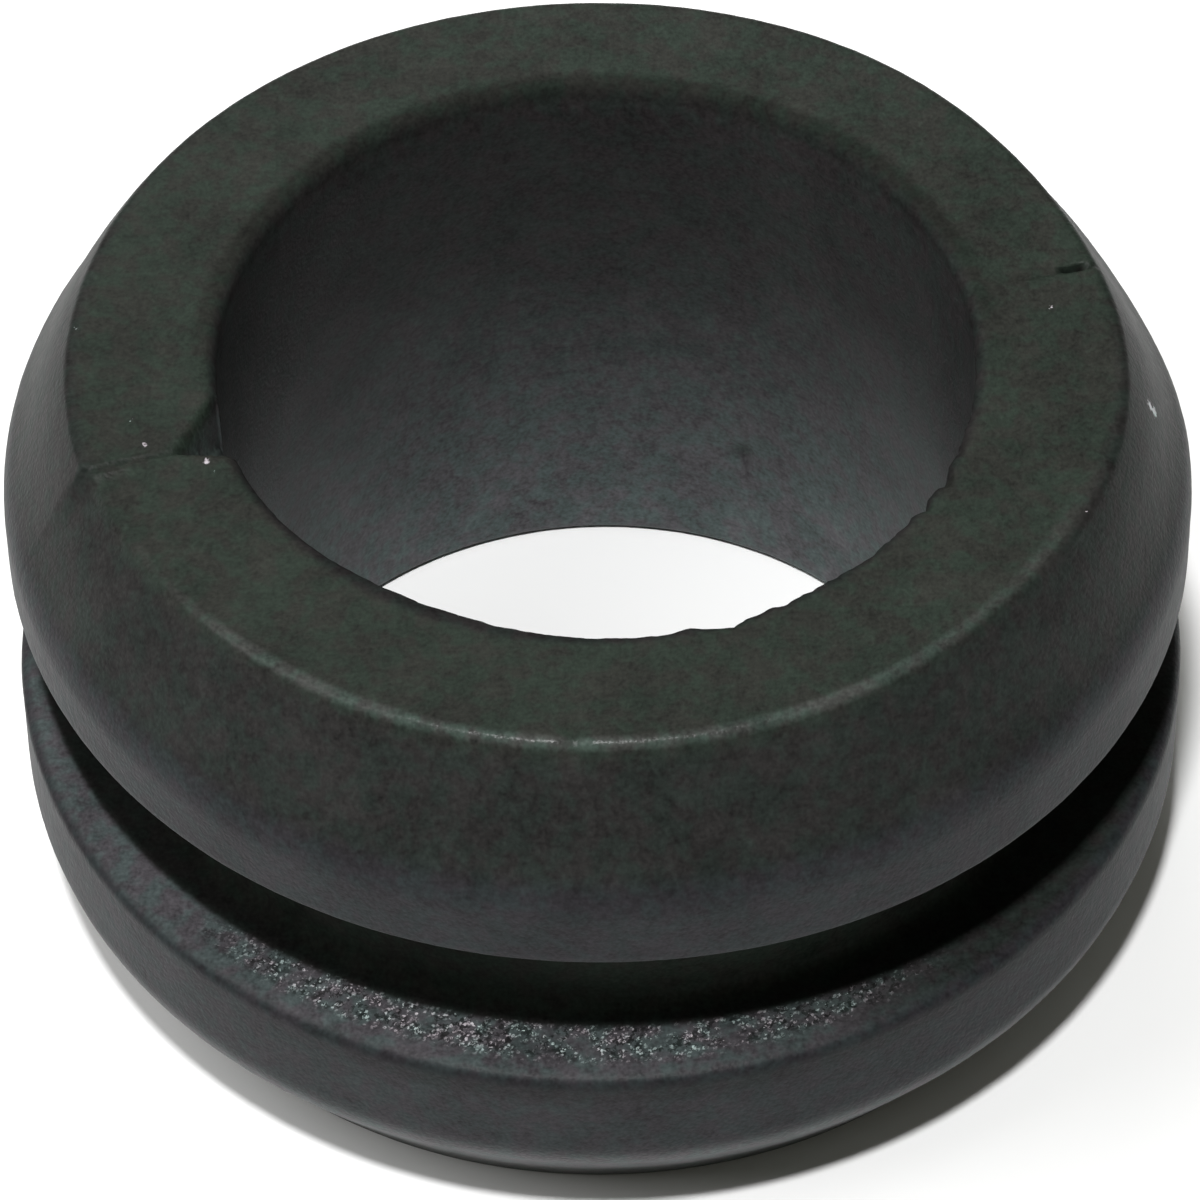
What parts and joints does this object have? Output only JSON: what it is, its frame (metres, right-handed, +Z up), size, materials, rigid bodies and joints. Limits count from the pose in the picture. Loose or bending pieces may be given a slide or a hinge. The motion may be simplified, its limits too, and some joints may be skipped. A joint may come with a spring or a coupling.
{
  "type": "rubber grommet",
  "caption": "Round rubber grommet with an open bore, bevelled flanges and a groove for a panel edge.",
  "frame": {"origin": "centre of the bottom end face, on the surface that the grommet stands on", "axes": "+Z up along the bore's axis; X and Y square to it, with the mould's parting plane turned 14.5 degrees from X"},
  "size_m": [0.03, 0.03, 0.0167],
  "materials": {
    "rubber": "matte"
  },
  "bodies": {
    "root": {"grommet": "rubber"}
  },
  "joints": []
}
